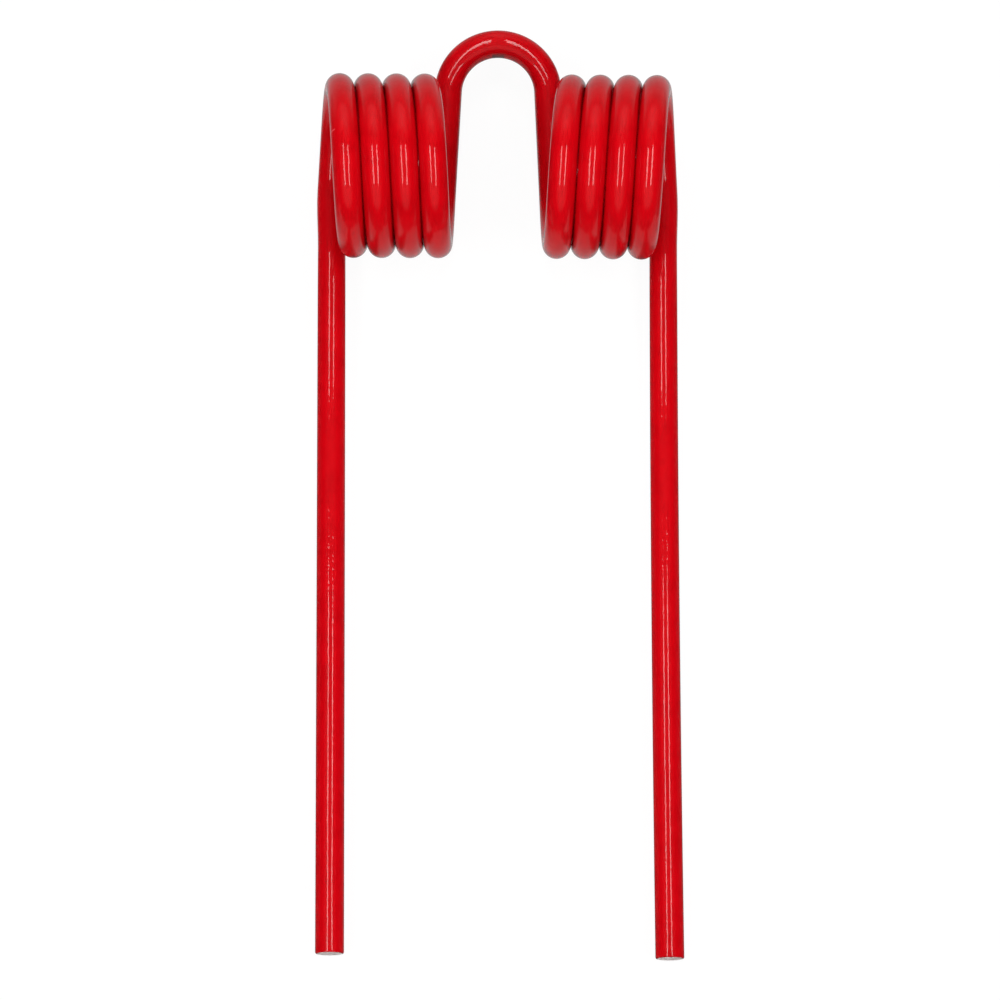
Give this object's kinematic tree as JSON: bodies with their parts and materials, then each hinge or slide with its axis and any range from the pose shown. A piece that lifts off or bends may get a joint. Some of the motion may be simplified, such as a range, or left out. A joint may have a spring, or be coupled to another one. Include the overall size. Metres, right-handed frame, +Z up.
{
  "type": "baler pick-up tine",
  "caption": "Spring tine for a baler pick-up: one round wire bent into two close-wound coils, a loop across the middle and two long straight legs.",
  "frame": {"origin": "on the line of the two coils, midway between them", "axes": "+X along the coils' line to the right coil, +Y from the leg tips towards the middle loop, +Z up from the floor that the tine lies on"},
  "size_m": [0.0808, 0.2073, 0.0409],
  "materials": {
    "red_enamel": "gloss"
  },
  "bodies": {
    "root": {"tine": "red_enamel"}
  },
  "joints": []
}
